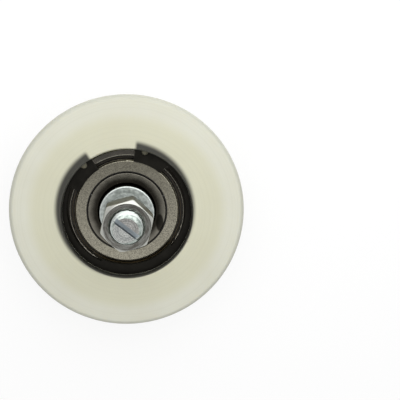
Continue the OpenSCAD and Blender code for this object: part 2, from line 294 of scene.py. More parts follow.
# The rims and the groove have lost their gloss to the rail: greyer, and scored
# round by grit in short lines up to 0.3 mm wide. A radian counts as 0.6 mm in
# the pattern, which makes the lines long.
SCORE_RUN = 0.6
worn = add(
    tree, "ShaderNodeMapRange", {"From Min": (WHEEL_R - 0.1) * MM, "From Max": WHEEL_R * MM},
    {"Value": radius},
)
groove_zone = add(
    tree, "ShaderNodeMapRange",
    {
        "From Min": (GROOVE_HALF + 0.15) * MM, "From Max": (GROOVE_HALF + 0.55) * MM,
        "To Min": 1.0, "To Max": 0.0,
    },
    {"Value": groove_side.outputs[0]},
)
beyond = add(tree, "ShaderNodeMath", {1: GROOVE_FROM_R * MM}, {0: radius}, operation="GREATER_THAN")
groove_only = add(
    tree, "ShaderNodeMath", links={0: groove_zone.outputs[0], 1: beyond.outputs[0]},
    operation="MULTIPLY",
)
rolled = add(
    tree, "ShaderNodeMath", links={0: worn.outputs[0], 1: groove_only.outputs[0]}, operation="MAXIMUM",
)
score_angle = add(
    tree, "ShaderNodeMath", {1: SCORE_RUN * MM}, {0: angle.outputs[0]}, operation="MULTIPLY",
)
score_place = add(
    tree, "ShaderNodeCombineXYZ",
    links={"X": radius, "Y": split.outputs["Z"], "Z": score_angle.outputs[0]},
)
scores = add(
    tree, "ShaderNodeTexNoise", {"Scale": per_mm(0.3), "Detail": 3.0, "Roughness": 0.6},
    {"Vector": score_place.outputs[0]},
)
score = add(
    tree, "ShaderNodeMapRange", {"From Min": 0.38, "From Max": 0.66, "To Min": 0.36, "To Max": 0.56},
    {"Value": scores.outputs["Fac"]},
)
scored = add(
    tree, "ShaderNodeMath", links={0: rolled.outputs[0], 1: score.outputs[0]}, operation="MULTIPLY",
)
rolled_on = add(
    tree, "ShaderNodeMix", {TO: linear("#a9ab96")},
    {SHARE: scored.outputs[0], FROM: rusted.outputs[MIXED]}, data_type="RGBA",
)
tree.links.new(rolled_on.outputs[MIXED], shader.inputs["Base Color"])
bump = add(
    tree, "ShaderNodeBump", {"Strength": 0.12, "Distance": 0.03 * MM}, {"Height": hoops.outputs["Fac"]},
)
tree.links.new(bump.outputs[0], shader.inputs["Normal"])
dress("wheel_body", turned_nylon)


# ---- Bearing outer ring -----------------------------------------------------
# Hardened chrome steel, ground all over, which holds a thin film of oil. The
# grinding leaves fine hoops, and the ring rests on the shoulder in the wheel.

OPENING_FROM, OPENING_TO = 13.5, 15.5


def ease_edges(node, width):
    """Rounds a CAD node's hard edges by some millimetres, so that they catch the light."""
    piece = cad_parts[node]
    weld = piece.modifiers.new("joined_edges", "WELD")
    weld.merge_threshold = 0.002 * MM
    rounding = piece.modifiers.new("eased_edges", "BEVEL")
    rounding.width, rounding.segments = width * MM, 2
    rounding.limit_method, rounding.angle_limit = "ANGLE", math.radians(30)
    rounding.harden_normals = True


def facing_front(tree):
    """Tells how a surface faces: 1 to the front, 0 to a side and -1 to the back."""
    normal = add(tree, "ShaderNodeTexCoord").outputs["Normal"]
    return add(tree, "ShaderNodeSeparateXYZ", links={0: normal}).outputs["Z"]


# Ground steel under oil: bright and nearly a mirror, with hoops 0.35 mm apart.
ground_steel, tree, shader = new_finish("ground_bearing_steel", Metallic=1.0)
place, _, section = turned_place(tree)
grinding = add(
    tree, "ShaderNodeTexNoise", {"Scale": per_mm(0.35), "Detail": 2.0}, {"Vector": section},
    noise_dimensions="2D",
)
oil = add(tree, "ShaderNodeTexNoise", {"Scale": per_mm(5), "Detail": 3.0}, {"Vector": place})
oiled = add(
    tree, "ShaderNodeMix", {FROM: linear("#a09b90"), TO: linear("#b8b3a8")},
    {SHARE: oil.outputs["Fac"]}, data_type="RGBA",
)
ground = add(
    tree, "ShaderNodeMapRange", {"From Min": 0.4, "From Max": 0.7, "To Max": 0.35},
    {"Value": grinding.outputs["Fac"]},
)
ground_colour = add(
    tree, "ShaderNodeMix", {TO: linear("#77726a")},
    {SHARE: ground.outputs[0], FROM: oiled.outputs[MIXED]}, data_type="RGBA",
)

# Its front face is painted a blackish brown, partly old oil and partly the shade
# of the recess it sits in, with a few bright hairlines painted round the crimp as
# highlights. It is painted lighter in the retaining ring's opening.
split = add(tree, "ShaderNodeSeparateXYZ", links={0: place})
front = add(
    tree, "ShaderNodeMapRange", {"From Min": 0.9, "From Max": 0.98, "To Max": 0.92},
    {"Value": facing_front(tree)},
)
highlight_lines = add(
    tree, "ShaderNodeMapRange", {"From Min": 0.56, "From Max": 0.64, "To Min": 1.0, "To Max": 0.55},
    {"Value": grinding.outputs["Fac"]},
)
lighter_in_opening = add(
    tree, "ShaderNodeMapRange",
    {"From Min": OPENING_FROM * MM, "From Max": OPENING_TO * MM, "To Min": 1.0, "To Max": 0.0},
    {"Value": split.outputs["Y"]},
)
dark_face_share = front
for share in (highlight_lines, lighter_in_opening):
    dark_face_share = add(
        tree, "ShaderNodeMath", links={0: dark_face_share.outputs[0], 1: share.outputs[0]}, operation="MULTIPLY",
    )
dark_face_colour = add(
    tree, "ShaderNodeMix", {TO: linear("#16130d")},
    {SHARE: dark_face_share.outputs[0], FROM: ground_colour.outputs[MIXED]}, data_type="RGBA",
)
tree.links.new(dark_face_colour.outputs[MIXED], shader.inputs["Base Color"])
sheen = add(tree, "ShaderNodeMapRange", {"To Min": 0.10, "To Max": 0.22}, {"Value": oil.outputs["Fac"]})
tree.links.new(sheen.outputs[0], shader.inputs["Roughness"])
bump = add(
    tree, "ShaderNodeBump", {"Strength": 0.15, "Distance": 0.01 * MM},
    {"Height": grinding.outputs["Fac"]},
)
tree.links.new(bump.outputs[0], shader.inputs["Normal"])
dress("bearing_outer_ring", ground_steel)
ease_edges("bearing_outer_ring", 0.18)


# ---- Bearing inner ring -----------------------------------------------------
# The same ground steel, painted darker towards its bore: painted shade and a dark
# reflection from the axle and nut, with some oil from the press fit.

NUT_SHADE_PLACE, NUT_SHADE_TURN, NUT_SHADE_HALF = (10.3, -3.6, 14.5), math.radians(19), (1.3, 3.1, 3.0)
SHADE_TO_R, UNSHADED_FROM_R, SHADE_WANDER = 9.7, 12.3, 1.2
LAND_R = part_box("bearing_inner_ring")[1].x / MM

# Oily ground steel: a soft grey mirror, with painted shade dark by the bore.
shaded_oily_steel, tree, shader = new_finish("shaded_oily_bearing_steel", Metallic=1.0)
place, radius, section = turned_place(tree)
grinding = add(
    tree, "ShaderNodeTexNoise", {"Scale": per_mm(0.35), "Detail": 2.0}, {"Vector": section},
    noise_dimensions="2D",
)
streaks = add(tree, "ShaderNodeTexNoise", {"Scale": per_mm(2.5), "Detail": 3.0}, {"Vector": place})
wander = add(
    tree, "ShaderNodeMath", {1: SHADE_WANDER * MM, 2: -SHADE_WANDER / 2 * MM},
    {0: streaks.outputs["Fac"]}, operation="MULTIPLY_ADD",
)
shade_edge = add(tree, "ShaderNodeMath", links={0: radius, 1: wander.outputs[0]}, operation="ADD")
unshaded = add(
    tree, "ShaderNodeMapRange", {"From Min": SHADE_TO_R * MM, "From Max": UNSHADED_FROM_R * MM},
    {"Value": shade_edge.outputs[0]}, interpolation_type="SMOOTHSTEP",
)
ring_colour = add(
    tree, "ShaderNodeMix", {FROM: linear("#37342e"), TO: linear("#9c988c")}, {SHARE: unshaded.outputs[0]},
    data_type="RGBA",
)

# Painted shade from the nut: a dark patch on one side, about 3 mm wide and 6 mm long.
beside = add(
    tree, "ShaderNodeVectorMath", {1: [c * MM for c in NUT_SHADE_PLACE]}, {0: place}, operation="SUBTRACT",
)
squeezed = add(
    tree, "ShaderNodeMapping", {"Rotation": (0, 0, NUT_SHADE_TURN), "Scale": [1 / half for half in NUT_SHADE_HALF]},
    {"Vector": beside.outputs[0]},
)
nut_shade_reach = add(tree, "ShaderNodeVectorMath", links={0: squeezed.outputs[0]}, operation="LENGTH")
nut_shade = add(
    tree, "ShaderNodeMapRange",
    {"From Min": 0.75 * MM, "From Max": 1.05 * MM, "To Min": 0.9, "To Max": 0.0},
    {"Value": nut_shade_reach.outputs["Value"]}, interpolation_type="SMOOTHSTEP",
)
nut_shaded = add(
    tree, "ShaderNodeMix", {TO: linear("#1f1d19")},
    {SHARE: nut_shade.outputs[0], FROM: ring_colour.outputs[MIXED]}, data_type="RGBA",
)

# Its outer edge, by the gap under the shield, is painted black: grease and the gap's shade.
gap_edge_dark = add(
    tree, "ShaderNodeMapRange",
    {"From Min": (LAND_R - 0.35) * MM, "From Max": (LAND_R - 0.15) * MM, "To Max": 0.96},
    {"Value": radius},
)
gap_edged = add(
    tree, "ShaderNodeMix", {TO: linear("#171511")},
    {SHARE: gap_edge_dark.outputs[0], FROM: nut_shaded.outputs[MIXED]}, data_type="RGBA",
)
tree.links.new(gap_edged.outputs[MIXED], shader.inputs["Base Color"])
ring_sheen = add(
    tree, "ShaderNodeMapRange", {"To Min": 0.22, "To Max": 0.32}, {"Value": streaks.outputs["Fac"]},
)
tree.links.new(ring_sheen.outputs[0], shader.inputs["Roughness"])
bump = add(
    tree, "ShaderNodeBump", {"Strength": 0.15, "Distance": 0.01 * MM},
    {"Height": grinding.outputs["Fac"]},
)
tree.links.new(bump.outputs[0], shader.inputs["Normal"])
dress("bearing_inner_ring", shaded_oily_steel)
ease_edges("bearing_inner_ring", 0.15)


# ---- Balls ------------------------------------------------------------------
# Lapped chrome steel balls, eight of them, which the cage keeps apart. They
# run in old grease.

# Lapped steel: a clean mirror that greasy smears make duller and yellower.
lapped_steel, tree, shader = new_finish("lapped_ball_steel", Metallic=1.0)
place = add(tree, "ShaderNodeTexCoord").outputs["Object"]
grease = add(tree, "ShaderNodeTexNoise", {"Scale": per_mm(3), "Detail": 2.0}, {"Vector": place})
greased = add(
    tree, "ShaderNodeMix", {FROM: linear("#7d796c"), TO: linear("#a9a698")},
    {SHARE: grease.outputs["Fac"]}, data_type="RGBA",
)
tree.links.new(greased.outputs[MIXED], shader.inputs["Base Color"])
smear = add(
    tree, "ShaderNodeMapRange", {"To Min": 0.14, "To Max": 0.34}, {"Value": grease.outputs["Fac"]},
)
tree.links.new(smear.outputs[0], shader.inputs["Roughness"])
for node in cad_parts:
    if node.startswith("ball_"):
        dress(node, lapped_steel)


# ---- Cage -------------------------------------------------------------------
# Two ribbons pressed from mild steel strip, closed over the balls from both
# sides and riveted together between them.

# Pressed mild steel: dull and dark grey, with a coarse grain from the press.
pressed_steel, tree, shader = new_finish("pressed_cage_steel", Metallic=1.0)
place = add(tree, "ShaderNodeTexCoord").outputs["Object"]
grain = add(tree, "ShaderNodeTexNoise", {"Scale": per_mm(1.2), "Detail": 4.0}, {"Vector": place})
pressed_colour = add(
    tree, "ShaderNodeMix", {FROM: linear("#58544b"), TO: linear("#7d786c")},
    {SHARE: grain.outputs["Fac"]}, data_type="RGBA",
)
tree.links.new(pressed_colour.outputs[MIXED], shader.inputs["Base Color"])
pressed_sheen = add(
    tree, "ShaderNodeMapRange", {"To Min": 0.3, "To Max": 0.5}, {"Value": grain.outputs["Fac"]},
)
tree.links.new(pressed_sheen.outputs[0], shader.inputs["Roughness"])
for node in ("cage_front_half", "cage_back_half", "cage_rivets"):
    dress(node, pressed_steel)


# ---- Shields ----------------------------------------------------------------
# Each is pressed from thin cold rolled strip: a satin plate, a slope down to a
# flange, and a notched rim that is crimped into the outer ring. Old grease and
# painted shade darken the corner by the crimp.

CORNER_FROM_R, CORNER_R = 16.15, 16.5

# Cold rolled steel: warm grey and satin, with a fine speckle from the rolls,
# and a brown-black corner of grease in threads, darkened further as painted shade.
satin_steel, tree, shader = new_finish("cold_rolled_shield_steel", Metallic=1.0)
place, radius, section = turned_place(tree)
grain = add(tree, "ShaderNodeTexNoise", {"Scale": per_mm(0.3), "Detail": 4.0}, {"Vector": place})
wear = add(tree, "ShaderNodeTexNoise", {"Scale": per_mm(4), "Detail": 3.0}, {"Vector": place})
satin = add(
    tree, "ShaderNodeMix", {FROM: linear("#b8b3a0"), TO: linear("#d6d1be")},
    {SHARE: wear.outputs["Fac"]}, data_type="RGBA",
)
speckle = add(
    tree, "ShaderNodeMapRange", {"From Min": 0.42, "From Max": 0.6, "To Max": 0.64},
    {"Value": grain.outputs["Fac"]},
)
speckled = add(
    tree, "ShaderNodeMix", {TO: linear("#7f7b6f")},
    {SHARE: speckle.outputs[0], FROM: satin.outputs[MIXED]}, data_type="RGBA",
)
greasy_and_shaded = add(
    tree, "ShaderNodeMapRange", {"From Min": CORNER_FROM_R * MM, "From Max": CORNER_R * MM},
    {"Value": radius}, interpolation_type="SMOOTHSTEP",
)
threads = add(
    tree, "ShaderNodeTexNoise", {"Scale": per_mm(0.4), "Detail": 1.0}, {"Vector": section},
    noise_dimensions="2D",
)
thread_amount = add(
    tree, "ShaderNodeMapRange", {"From Min": 0.54, "From Max": 0.62, "To Max": 0.8},
    {"Value": threads.outputs["Fac"]},
)
grease_and_shade_colour = add(
    tree, "ShaderNodeMix", {FROM: linear("#0d0b06"), TO: linear("#4a3e26")},
    {SHARE: thread_amount.outputs[0]}, data_type="RGBA",
)
shield_colour = add(
    tree, "ShaderNodeMix",
    links={SHARE: greasy_and_shaded.outputs[0], FROM: speckled.outputs[MIXED], TO: grease_and_shade_colour.outputs[MIXED]},
    data_type="RGBA",
)
bare = add(tree, "ShaderNodeMath", {0: 1.0}, {1: greasy_and_shaded.outputs[0]}, operation="SUBTRACT")
tree.links.new(bare.outputs[0], shader.inputs["Metallic"])
tree.links.new(shield_colour.outputs[MIXED], shader.inputs["Base Color"])
satin_sheen = add(
    tree, "ShaderNodeMapRange", {"To Min": 0.2, "To Max": 0.3}, {"Value": grain.outputs["Fac"]},
)
tree.links.new(satin_sheen.outputs[0], shader.inputs["Roughness"])
bump = add(
    tree, "ShaderNodeBump", {"Strength": 0.15, "Distance": 0.01 * MM}, {"Height": grain.outputs["Fac"]},
)
tree.links.new(bump.outputs[0], shader.inputs["Normal"])
for node in ("shield_front", "shield_back"):
    dress(node, satin_steel)
    ease_edges(node, 0.28)


# ---- Retaining ring ---------------------------------------------------------
# Stamped from spring steel and blackened in hot oxide salts, then oiled. It
# springs out into its groove in the wheel and keeps the bearing in. The stamping
# leaves its edges slightly rounded.

# Black oxide: near black, with a soft shine where the oil lies thicker.
black_oxide, tree, shader = new_finish("black_oxide_spring_steel", Metallic=0.85)
place = add(tree, "ShaderNodeTexCoord").outputs["Object"]
stain = add(
    tree, "ShaderNodeTexNoise", {"Scale": per_mm(4), "Detail": 4.0, "Roughness": 0.6},
    {"Vector": place},
)
blackened = add(
    tree, "ShaderNodeMix", {FROM: linear("#151410"), TO: linear("#2b2924")},
    {SHARE: stain.outputs["Fac"]}, data_type="RGBA",
)
tree.links.new(blackened.outputs[MIXED], shader.inputs["Base Color"])
oily = add(
    tree, "ShaderNodeMapRange", {"To Min": 0.26, "To Max": 0.48}, {"Value": stain.outputs["Fac"]},
)
tree.links.new(oily.outputs[0], shader.inputs["Roughness"])
dress("retaining_ring", black_oxide)
ease_edges("retaining_ring", 0.12)


# ---- Grease, dirt and painted shade -----------------------------------------
# Grease has crept to the inner edge of each shield and set there as a near black
# bead, which closes the gap beside the inner ring and stands in for its shade. The
# ring's plier holes hold pale dust from the nylon, stuck in oil.

bearing_low, bearing_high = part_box("bearing_inner_ring")
BEARING_ENDS = (bearing_low.z + bearing_high.z) / MM
BEAD_AROUND, PLUG_AROUND = 96, 24
PLUG_TOP = 15.9
PLUG_PLACES = {"left": (-13.02, 14.72), "right": (5.58, 18.84)}

# Edges that turn by more than this stay crisp.
CRISP = math.radians(24)


def skin(name, rings, caps):
    """Joins rings of points into one smooth mesh: capped at both ends, or else closed on itself."""
    count = len(rings[0])
    points = [point for ring in rings for point in ring]
    faces = []
    for i in range(len(rings) - (1 if caps else 0)):
        low, high = i * count, (i + 1) % len(rings) * count
        for j in range(count):
            k = (j + 1) % count
            faces.append((low + j, low + k, high + k, high + j))
    if caps:
        faces.append(tuple(reversed(range(count))))
        faces.append(tuple(range(len(points) - count, len(points))))
    mesh = bpy.data.meshes.new(name)
    mesh.from_pydata([tuple(c * MM for c in point) for point in points], [], faces)
    mesh.polygons.foreach_set("use_smooth", [True] * len(faces))
    mesh.set_sharp_from_angle(angle=CRISP)
    piece = bpy.data.objects.new(name, mesh)
    bpy.context.scene.collection.objects.link(piece)
    return piece


def around(count):
    """Gives so many angles, evenly round the axis."""
    return [math.tau * j / count for j in range(count)]


def ring_at(height, radii, angles):
    """Gives a ring of points round the axis, with a radius for each angle."""
    return [(r * math.cos(a), r * math.sin(a), height) for r, a in zip(radii, angles)]


# Old grease: nearly black, in soft lumps of about 1.5 mm that shine unevenly.
old_grease, tree, shader = new_finish("old_bearing_grease", IOR=1.48)
place = add(tree, "ShaderNodeTexCoord").outputs["Object"]
lumps = add(tree, "ShaderNodeTexNoise", {"Scale": per_mm(1.5), "Detail": 3.0}, {"Vector": place})
grease_tone = add(
    tree, "ShaderNodeMix", {FROM: linear("#0e0b07"), TO: linear("#1b1710")},
    {SHARE: lumps.outputs["Fac"]}, data_type="RGBA",
)
tree.links.new(grease_tone.outputs[MIXED], shader.inputs["Base Color"])
grease_sheen = add(
    tree, "ShaderNodeMapRange", {"To Min": 0.62, "To Max": 0.38}, {"Value": lumps.outputs["Fac"]},
)
tree.links.new(grease_sheen.outputs[0], shader.inputs["Roughness"])
lumpy = add(
    tree, "ShaderNodeBump", {"Strength": 0.4, "Distance": 0.05 * MM}, {"Height": lumps.outputs["Fac"]},
)
tree.links.new(lumpy.outputs[0], shader.inputs["Normal"])

# The bead's section, as radius and height, at the back. The front one mirrors it.
bead_profile = [(13.2, 3.05), (13.1, 3.5), (12.8, 3.75), (12.45, 3.65), (12.32, 3.3), (12.36, 3.05)]
for side in ("back", "front"):
    rings = []
    for r, z in bead_profile:
        height = z if side == "back" else BEARING_ENDS - z
        rings.append(ring_at(height, [r] * BEAD_AROUND, around(BEAD_AROUND)))
    bead = skin(f"grease_and_shade_bead_{side}", rings, caps=False)
    bead.data.materials.append(old_grease)
    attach(bead, "wheel")

# Nylon dust in oil: a dull olive, in crumbs of half a millimetre.
oily_dust, tree, shader = new_finish("oily_nylon_dust", Roughness=0.6, IOR=1.5)
place = add(tree, "ShaderNodeTexCoord").outputs["Object"]
crumbs = add(tree, "ShaderNodeTexNoise", {"Scale": per_mm(0.5), "Detail": 3.0}, {"Vector": place})
dusty = add(
    tree, "ShaderNodeMix", {FROM: linear("#3f3c2f"), TO: linear("#8f8b75")},
    {SHARE: crumbs.outputs["Fac"]}, data_type="RGBA",
)
tree.links.new(dusty.outputs[MIXED], shader.inputs["Base Color"])
plug_profile = [(0.98, -0.6), (0.98, 0.0), (0.7, 0.14), (0.3, 0.2)]
for side, (across, up) in PLUG_PLACES.items():
    rings = []
    for r, z in plug_profile:
        ring = ring_at(z + PLUG_TOP, [r] * PLUG_AROUND, around(PLUG_AROUND))
        rings.append([(px + across, py + up, pz) for px, py, pz in ring])
    plug = skin(f"hole_dust_{side}", rings, caps=True)
    plug.data.materials.append(oily_dust)
    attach(plug, "wheel")


# ---- Axle -------------------------------------------------------------------
# Turned from one bar of free cutting steel and zinc plated. Its head lies behind
# the inner ring, its seat fills the bore, and its thread carries the nut. The
# bar's end is faced a little askew, so its bevel is wider on one side.

HEAD_R, SEAT_R, SHANK_R, RELIEF_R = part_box("axle")[1].x / MM, 8.5, 4.7625, 3.5
THREAD_R, THREAD_DEPTH, PITCH, ROOT_FLAT, CREST_FLAT = 4.5, 0.86, 25.4 / 16, 1 / 4, 1 / 8
END_R, END_OFF, END_LEAN, END_BEVEL = 3.6, 0.55, math.radians(245), 0.9
SLOT_TURN, SLOT_W, SLOT_DEPTH, SLOT_REACH = math.radians(-38), 1.5, 2.2, 6.0
SEAT_SINK, RELIEF_LENGTH, RUN_OUT, CAP_H, CAP_DEPTH = 1.7, 1.9, 1.2, 0.35, 0.25
AXLE_AROUND, THREAD_ROWS = 96, 116

AXLE_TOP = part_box("axle")[1].z / MM
HEAD_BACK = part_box("axle")[0].z / MM
HEAD_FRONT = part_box("bearing_inner_ring")[0].z / MM
SEAT_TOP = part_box("wheel_body")[1].z / MM - SEAT_SINK
THREAD_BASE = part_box("hex_nut")[0].z / MM
THREAD_START = THREAD_BASE - 0.1
SHANK_TOP = THREAD_BASE - RELIEF_LENGTH


def thread_form(angle, height):
    """Gives a 60 degree thread's share of its depth at a place: 0 at its root and 1 at its crest."""
    turn = height / PITCH - angle / math.tau
    rise = abs((turn % 1.0) - 0.5) * 2
    return min(1.0, max(0.0, (rise - ROOT_FLAT) / (1 - ROOT_FLAT - CREST_FLAT)))


def askew(angle, radius, off, lean):
    """Gives the distance from the axis to the edge of a round that is off centre."""
    away = angle - lean
    return off * math.cos(away) + math.sqrt(radius**2 - (off * math.sin(away)) ** 2)


def thread_side(angle, height):
    """Gives the thread's radius, with its run out at the relief and its bevel at the end."""
    thread = THREAD_R - THREAD_DEPTH * (1 - thread_form(angle, height))
    edge = min(askew(angle, END_R, END_OFF, END_LEAN), THREAD_R - 0.1)
    bevel = THREAD_R - (THREAD_R - edge) * (1 - (AXLE_TOP - height) / END_BEVEL)
    radius = min(thread, bevel, RELIEF_R + max(0.0, height - THREAD_BASE + 0.05) * RUN_OUT)
    return max(radius, bevel - CAP_DEPTH) if height > AXLE_TOP - CAP_H else radius


# The turned part as radius and height, from the back. Each corner is eased by
# the few tenths of a millimetre beside its size.
turned_profile = [
    (1.0, HEAD_BACK), (HEAD_R - 0.35, HEAD_BACK), (HEAD_R - 0.15, HEAD_BACK + 0.06),
    (HEAD_R, HEAD_BACK + 0.22), (HEAD_R, HEAD_FRONT - 0.22), (HEAD_R - 0.1, HEAD_FRONT - 0.06),
    (HEAD_R - 0.3, HEAD_FRONT), (SEAT_R, HEAD_FRONT), (SEAT_R, SEAT_TOP - 0.35),
    (SEAT_R - 0.03, SEAT_TOP - 0.23), (SEAT_R - 0.12, SEAT_TOP - 0.11), (SEAT_R - 0.3, SEAT_TOP - 0.03),
    (SEAT_R - 0.5, SEAT_TOP), (7.2, SEAT_TOP), (6.0, SEAT_TOP), (SHANK_R + 0.19, SEAT_TOP),
    (SHANK_R + 0.04, SEAT_TOP + 0.06), (SHANK_R, SEAT_TOP + 0.2), (SHANK_R, SHANK_TOP - 0.35),
    (SHANK_R - 0.04, SHANK_TOP - 0.2), (SHANK_R - 0.16, SHANK_TOP - 0.06), (SHANK_R - 0.36, SHANK_TOP),
    (RELIEF_R + 0.12, SHANK_TOP), (RELIEF_R + 0.03, SHANK_TOP + 0.06), (RELIEF_R, SHANK_TOP + 0.2),
    (RELIEF_R, THREAD_BASE - 0.2),
]
angles = around(AXLE_AROUND)
rings = [ring_at(z, [r] * AXLE_AROUND, angles) for r, z in turned_profile]
for i in range(THREAD_ROWS + 1):
    z = THREAD_START + i * (AXLE_TOP - THREAD_START) / THREAD_ROWS
    rings.append(ring_at(z, [thread_side(a, z) for a in angles], angles))
rings.append([(x * 0.9, y * 0.9, AXLE_TOP) for x, y, z in rings[-1]])
axle = skin("turned_axle", rings, caps=True)

# Bright zinc: a cool pale grey, with a mottle of about a millimetre from the bath
# over the tool's rings. Round surfaces were polished by the tool and mirror more
# sharply.
bright_zinc, tree, shader = new_finish("bright_zinc_plate", Metallic=1.0)
place, _, section = turned_place(tree)
lathe = add(
    tree, "ShaderNodeTexNoise", {"Scale": per_mm(0.55), "Detail": 3.0, "Roughness": 0.6},
    {"Vector": section}, noise_dimensions="2D",
)
mottle = add(
    tree, "ShaderNodeTexNoise", {"Scale": per_mm(0.9), "Detail": 3.0, "Roughness": 0.6},
    {"Vector": place},
)
blotch = add(
    tree, "ShaderNodeMapRange", {"From Min": 0.38, "From Max": 0.62}, {"Value": mottle.outputs["Fac"]},
)
zinc = add(
    tree, "ShaderNodeMix", {FROM: linear("#c3cac6"), TO: linear("#e0e6e2")}, {SHARE: blotch.outputs[0]},
    data_type="RGBA",
)
scored = add(
    tree, "ShaderNodeMapRange", {"From Min": 0.42, "From Max": 0.62, "To Max": 0.55},
    {"Value": lathe.outputs["Fac"]},
)
scored_zinc = add(
    tree, "ShaderNodeMix", {TO: linear("#8f9693")},
    {SHARE: scored.outputs[0], FROM: zinc.outputs[MIXED]}, data_type="RGBA",
)
tree.links.new(scored_zinc.outputs[MIXED], shader.inputs["Base Color"])
zinc_sheen = add(
    tree, "ShaderNodeMapRange", {"To Min": 0.32, "To Max": 0.44}, {"Value": blotch.outputs[0]},
)
level = add(tree, "ShaderNodeMath", links={0: facing_front(tree)}, operation="ABSOLUTE")
flatness = add(
    tree, "ShaderNodeMapRange", {"From Max": 0.5, "To Min": 0.45, "To Max": 1.0},
    {"Value": level.outputs[0]},
)
smooth_round = add(
    tree, "ShaderNodeMath", links={0: zinc_sheen.outputs[0], 1: flatness.outputs[0]},
    operation="MULTIPLY",
)
tree.links.new(smooth_round.outputs[0], shader.inputs["Roughness"])
bump = add(
    tree, "ShaderNodeBump", {"Strength": 0.5, "Distance": 0.05 * MM}, {"Height": lathe.outputs["Fac"]},
)
tree.links.new(bump.outputs[0], shader.inputs["Normal"])

# The seat's wall is painted nearly black, as shade in the bore of the ring round
# it, with some oil, and with fine hoops from the tool.
shaded_oily_seat, tree, shader = new_finish("shaded_oily_seat_steel", Metallic=1.0)
_, _, section = turned_place(tree)
lathe = add(
    tree, "ShaderNodeTexNoise", {"Scale": per_mm(0.3), "Detail": 2.0}, {"Vector": section},
    noise_dimensions="2D",
)
seat_colour = add(
    tree, "ShaderNodeMix", {FROM: linear("#1c1a18"), TO: linear("#34302c")},
    {SHARE: lathe.outputs["Fac"]}, data_type="RGBA",
)
tree.links.new(seat_colour.outputs[MIXED], shader.inputs["Base Color"])
seat_sheen = add(
    tree, "ShaderNodeMapRange", {"To Min": 0.3, "To Max": 0.5}, {"Value": lathe.outputs["Fac"]},
)
tree.links.new(seat_sheen.outputs[0], shader.inputs["Roughness"])

# The faced end: fine arcs from the tool, with the zinc a little warmer on one side
# of the slot and duller, as if frosted, on the other.
faced_end, tree, shader = new_finish("faced_end_zinc", Metallic=1.0)
place, _, section = turned_place(tree)
across_slot = add(
    tree, "ShaderNodeVectorMath", {1: (-math.sin(SLOT_TURN), math.cos(SLOT_TURN), 0)}, {0: place},
    operation="DOT_PRODUCT",
)
frosted = add(
    tree, "ShaderNodeMapRange",
    {"From Min": -0.6 * MM, "From Max": 0.6 * MM, "To Min": 1.0, "To Max": 0.0},
    {"Value": across_slot.outputs["Value"]},
)
arcs = add(
    tree, "ShaderNodeTexNoise", {"Scale": per_mm(0.32), "Detail": 3.0, "Roughness": 0.7},
    {"Vector": section}, noise_dimensions="2D",
)
frost = add(
    tree, "ShaderNodeTexNoise", {"Scale": per_mm(0.4), "Detail": 4.0, "Roughness": 0.7},
    {"Vector": place},
)
arc = add(
    tree, "ShaderNodeMapRange", {"From Min": 0.38, "From Max": 0.62}, {"Value": arcs.outputs["Fac"]},
)
grit = add(
    tree, "ShaderNodeMapRange", {"From Min": 0.38, "From Max": 0.62}, {"Value": frost.outputs["Fac"]},
)
tooled = add(
    tree, "ShaderNodeMix", {"Factor": 0.55}, {"A": arc.outputs[0], "B": grit.outputs[0]},
    data_type="FLOAT",
)
warm = add(
    tree, "ShaderNodeMix", {FROM: linear("#757572"), TO: linear("#d8d7d3")}, {SHARE: tooled.outputs[0]},
    data_type="RGBA",
)
cool = add(
    tree, "ShaderNodeMix", {FROM: linear("#797c7c"), TO: linear("#dbddd8")}, {SHARE: tooled.outputs[0]},
    data_type="RGBA",
)
end_colour = add(
    tree, "ShaderNodeMix",
    links={SHARE: frosted.outputs[0], FROM: warm.outputs[MIXED], TO: cool.outputs[MIXED]},
    data_type="RGBA",
)
# The bevel round it is greyer, with lighter and darker patches painted as uneven glints.
bevelled = add(
    tree, "ShaderNodeMapRange", {"From Min": 0.95, "From Max": 0.99, "To Min": 1.0, "To Max": 0.0},
    {"Value": facing_front(tree)},
)
glint_patches = add(
    tree, "ShaderNodeTexNoise", {"Scale": per_mm(1.3), "Detail": 3.0, "Roughness": 0.6},
    {"Vector": place},
)
patch = add(
    tree, "ShaderNodeMapRange", {"From Min": 0.42, "From Max": 0.58}, {"Value": glint_patches.outputs["Fac"]},
)
bevel_colour = add(
    tree, "ShaderNodeMix", {FROM: linear("#8a958f"), TO: linear("#bec6c1")}, {SHARE: patch.outputs[0]},
    data_type="RGBA",
)
whole_end = add(
    tree, "ShaderNodeMix",
    links={SHARE: bevelled.outputs[0], FROM: end_colour.outputs[MIXED], TO: bevel_colour.outputs[MIXED]},
    data_type="RGBA",
)
tree.links.new(whole_end.outputs[MIXED], shader.inputs["Base Color"])
end_sheen = add(
    tree, "ShaderNodeMapRange", {"To Min": 0.42, "To Max": 0.62}, {"Value": frosted.outputs[0]},
)
tree.links.new(end_sheen.outputs[0], shader.inputs["Roughness"])
end_bump = add(
    tree, "ShaderNodeBump", {"Strength": 0.5, "Distance": 0.05 * MM}, {"Height": arcs.outputs["Fac"]},
)
tree.links.new(end_bump.outputs[0], shader.inputs["Normal"])

